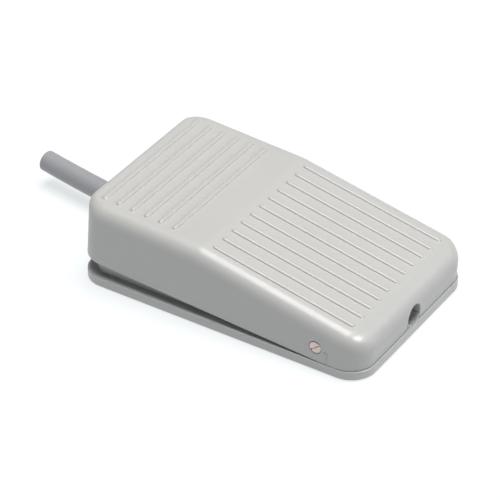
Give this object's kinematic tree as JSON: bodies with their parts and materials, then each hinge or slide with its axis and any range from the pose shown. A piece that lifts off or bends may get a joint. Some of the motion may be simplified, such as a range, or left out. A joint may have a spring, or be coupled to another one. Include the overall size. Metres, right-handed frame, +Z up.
{
  "type": "sewing machine pedal",
  "caption": "Small plastic foot pedal: a ribbed rocker cover hinged on two pins over a tray with a snap switch, return springs and a short grey cord.",
  "frame": {"origin": "on the floor under the middle of the pedal, the cord and its boot left out", "axes": "+Z up, +Y to the tall end where the cord leaves, +X to the right of a user facing +Y"},
  "size_m": [0.0666, 0.1453, 0.0301],
  "materials": {
    "cover_plastic": "satin moulded, light warm grey",
    "base_plastic": "satin moulded, light grey",
    "foot_rubber": "matt",
    "boot_rubber": "matt, mid grey",
    "cord_jacket": "satin PVC, mid grey",
    "nickel": "nickel plated, satin",
    "zinc_steel": "zinc plated",
    "spring_steel": "bright drawn",
    "brass": "turned",
    "tinned_brass": "tinned",
    "switch_plastic": "moulded, black",
    "plunger_plastic": "moulded, red",
    "core_brown": "PVC insulation, brown",
    "core_blue": "PVC insulation, blue",
    "core_black": "PVC insulation, black",
    "sleeve_plastic": "heat-shrink sleeve"
  },
  "bodies": {
    "base": {"base_tray": "base_plastic", "anti_slip_feet": "foot_rubber", "pivot_insert_left": "brass", "pivot_insert_right": "brass", "pivot_pin_left": "nickel", "pivot_pin_right": "nickel", "return_spring_left": "spring_steel", "return_spring_right": "spring_steel", "stop_bumpers": "foot_rubber", "switch_case": "switch_plastic", "switch_lid": "switch_plastic", "terminal_common": "tinned_brass", "terminal_open": "tinned_brass", "terminal_closed": "tinned_brass", "snap_blade": "tinned_brass", "lever_pin": "zinc_steel", "switch_screws": "zinc_steel", "supply_cord": "cord_jacket", "cord_boot": "boot_rubber", "cord_clamp": "base_plastic", "clamp_screws": "zinc_steel", "core_common": "core_brown", "core_open": "core_blue", "core_closed": "core_black", "wire_sleeves": "sleeve_plastic"},
    "pedal": {"rocker_cover": "cover_plastic", "actuator_screw": "zinc_steel", "lock_nut": "zinc_steel"},
    "lever": {"switch_lever": "spring_steel"},
    "plunger": {"switch_plunger": "plunger_plastic"}
  },
  "joints": [
    {"name": "pedal_press", "type": "hinge", "parent": "base", "child": "pedal", "pos_m": [0, -0.0357, 0.0084], "axis": [-1, 0, 0], "range_deg": [0, 3.72], "stiffness_Nm_per_rad": 8, "springref_deg": -3.58, "deforming": ["return_spring_left", "return_spring_right"]},
    {"name": "lever_swing", "type": "hinge", "parent": "base", "child": "lever", "pos_m": [0, 0.0212, 0.01713], "axis": [1, 0, 0], "range_deg": [0, 8.25]},
    {"name": "plunger_travel", "type": "slide", "parent": "base", "child": "plunger", "axis": [0, 0, -1], "range_m": [0, 0.00082]}
  ],
  "couplings": [
    {"joint": "lever_swing", "follows": "pedal_press", "ratio": 2.1889},
    {"joint": "plunger_travel", "follows": "pedal_press", "m_per_rad": 0.012376}
  ]
}
